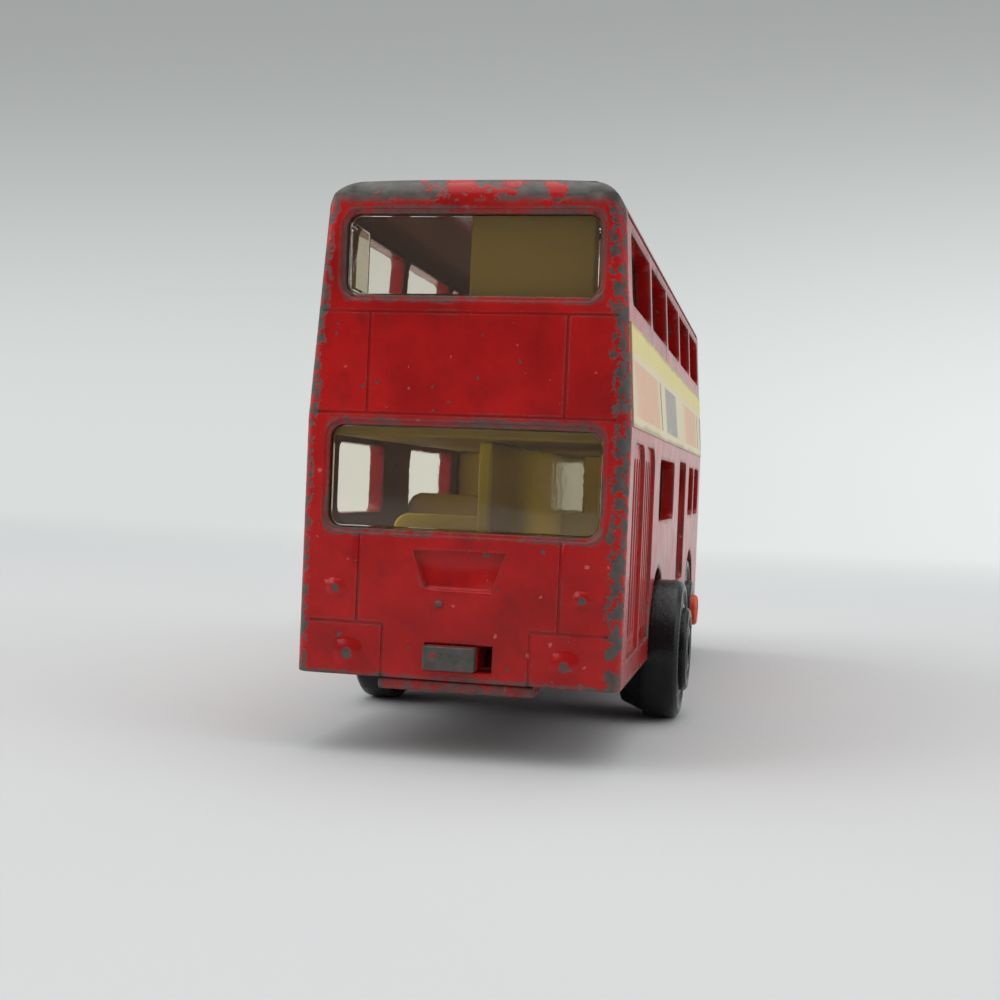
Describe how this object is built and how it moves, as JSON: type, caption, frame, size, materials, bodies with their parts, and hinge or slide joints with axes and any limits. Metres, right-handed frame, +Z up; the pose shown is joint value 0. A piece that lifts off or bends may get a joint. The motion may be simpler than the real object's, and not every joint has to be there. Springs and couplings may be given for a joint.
{
  "type": "toy bus",
  "caption": "Pocket-size die-cast double-decker toy bus with open side windows, a moulded saloon inside and free-rolling wheels.",
  "frame": {"origin": "on the ground under the middle of the bus", "axes": "+X the right side of the bus, +Y its front, +Z up"},
  "size_m": [0.027, 0.0778, 0.038],
  "materials": {
    "red_paint": "worn",
    "steel": "satin",
    "clear_pane": "gloss",
    "olive_plastic": "gloss",
    "label_paper": "satin",
    "black_plastic": "satin",
    "orange_plastic": "gloss"
  },
  "bodies": {
    "bus": {"body_casting": "red_paint", "baseplate": "red_paint", "base_rivet": "steel", "rear_upper_pane": "clear_pane", "rear_lower_pane": "clear_pane", "front_upper_pane": "clear_pane", "front_lower_pane": "clear_pane", "lower_seats": "olive_plastic", "upper_deck": "olive_plastic", "rear_axle": "steel", "front_axle": "steel", "right_label": "label_paper", "left_label": "label_paper"},
    "rear_right_wheel": {"rear_right_tyre": "black_plastic", "rear_right_hub": "black_plastic"},
    "rear_left_wheel": {"rear_left_tyre": "black_plastic", "rear_left_hub": "black_plastic"},
    "front_right_wheel": {"front_right_tyre": "black_plastic", "front_right_hub": "orange_plastic"},
    "front_left_wheel": {"front_left_tyre": "black_plastic", "front_left_hub": "orange_plastic"}
  },
  "joints": [
    {"name": "rear_right_spin", "type": "hinge", "parent": "bus", "child": "rear_right_wheel", "pos_m": [0.0107, -0.0134, 0.0055], "axis": [1, 0, 0], "continuous": true},
    {"name": "rear_left_spin", "type": "hinge", "parent": "bus", "child": "rear_left_wheel", "pos_m": [-0.0107, -0.0134, 0.0055], "axis": [1, 0, 0], "continuous": true},
    {"name": "front_right_spin", "type": "hinge", "parent": "bus", "child": "front_right_wheel", "pos_m": [0.0084, 0.0243, 0.0055], "axis": [1, 0, 0], "continuous": true},
    {"name": "front_left_spin", "type": "hinge", "parent": "bus", "child": "front_left_wheel", "pos_m": [-0.0084, 0.0243, 0.0055], "axis": [1, 0, 0], "continuous": true}
  ]
}
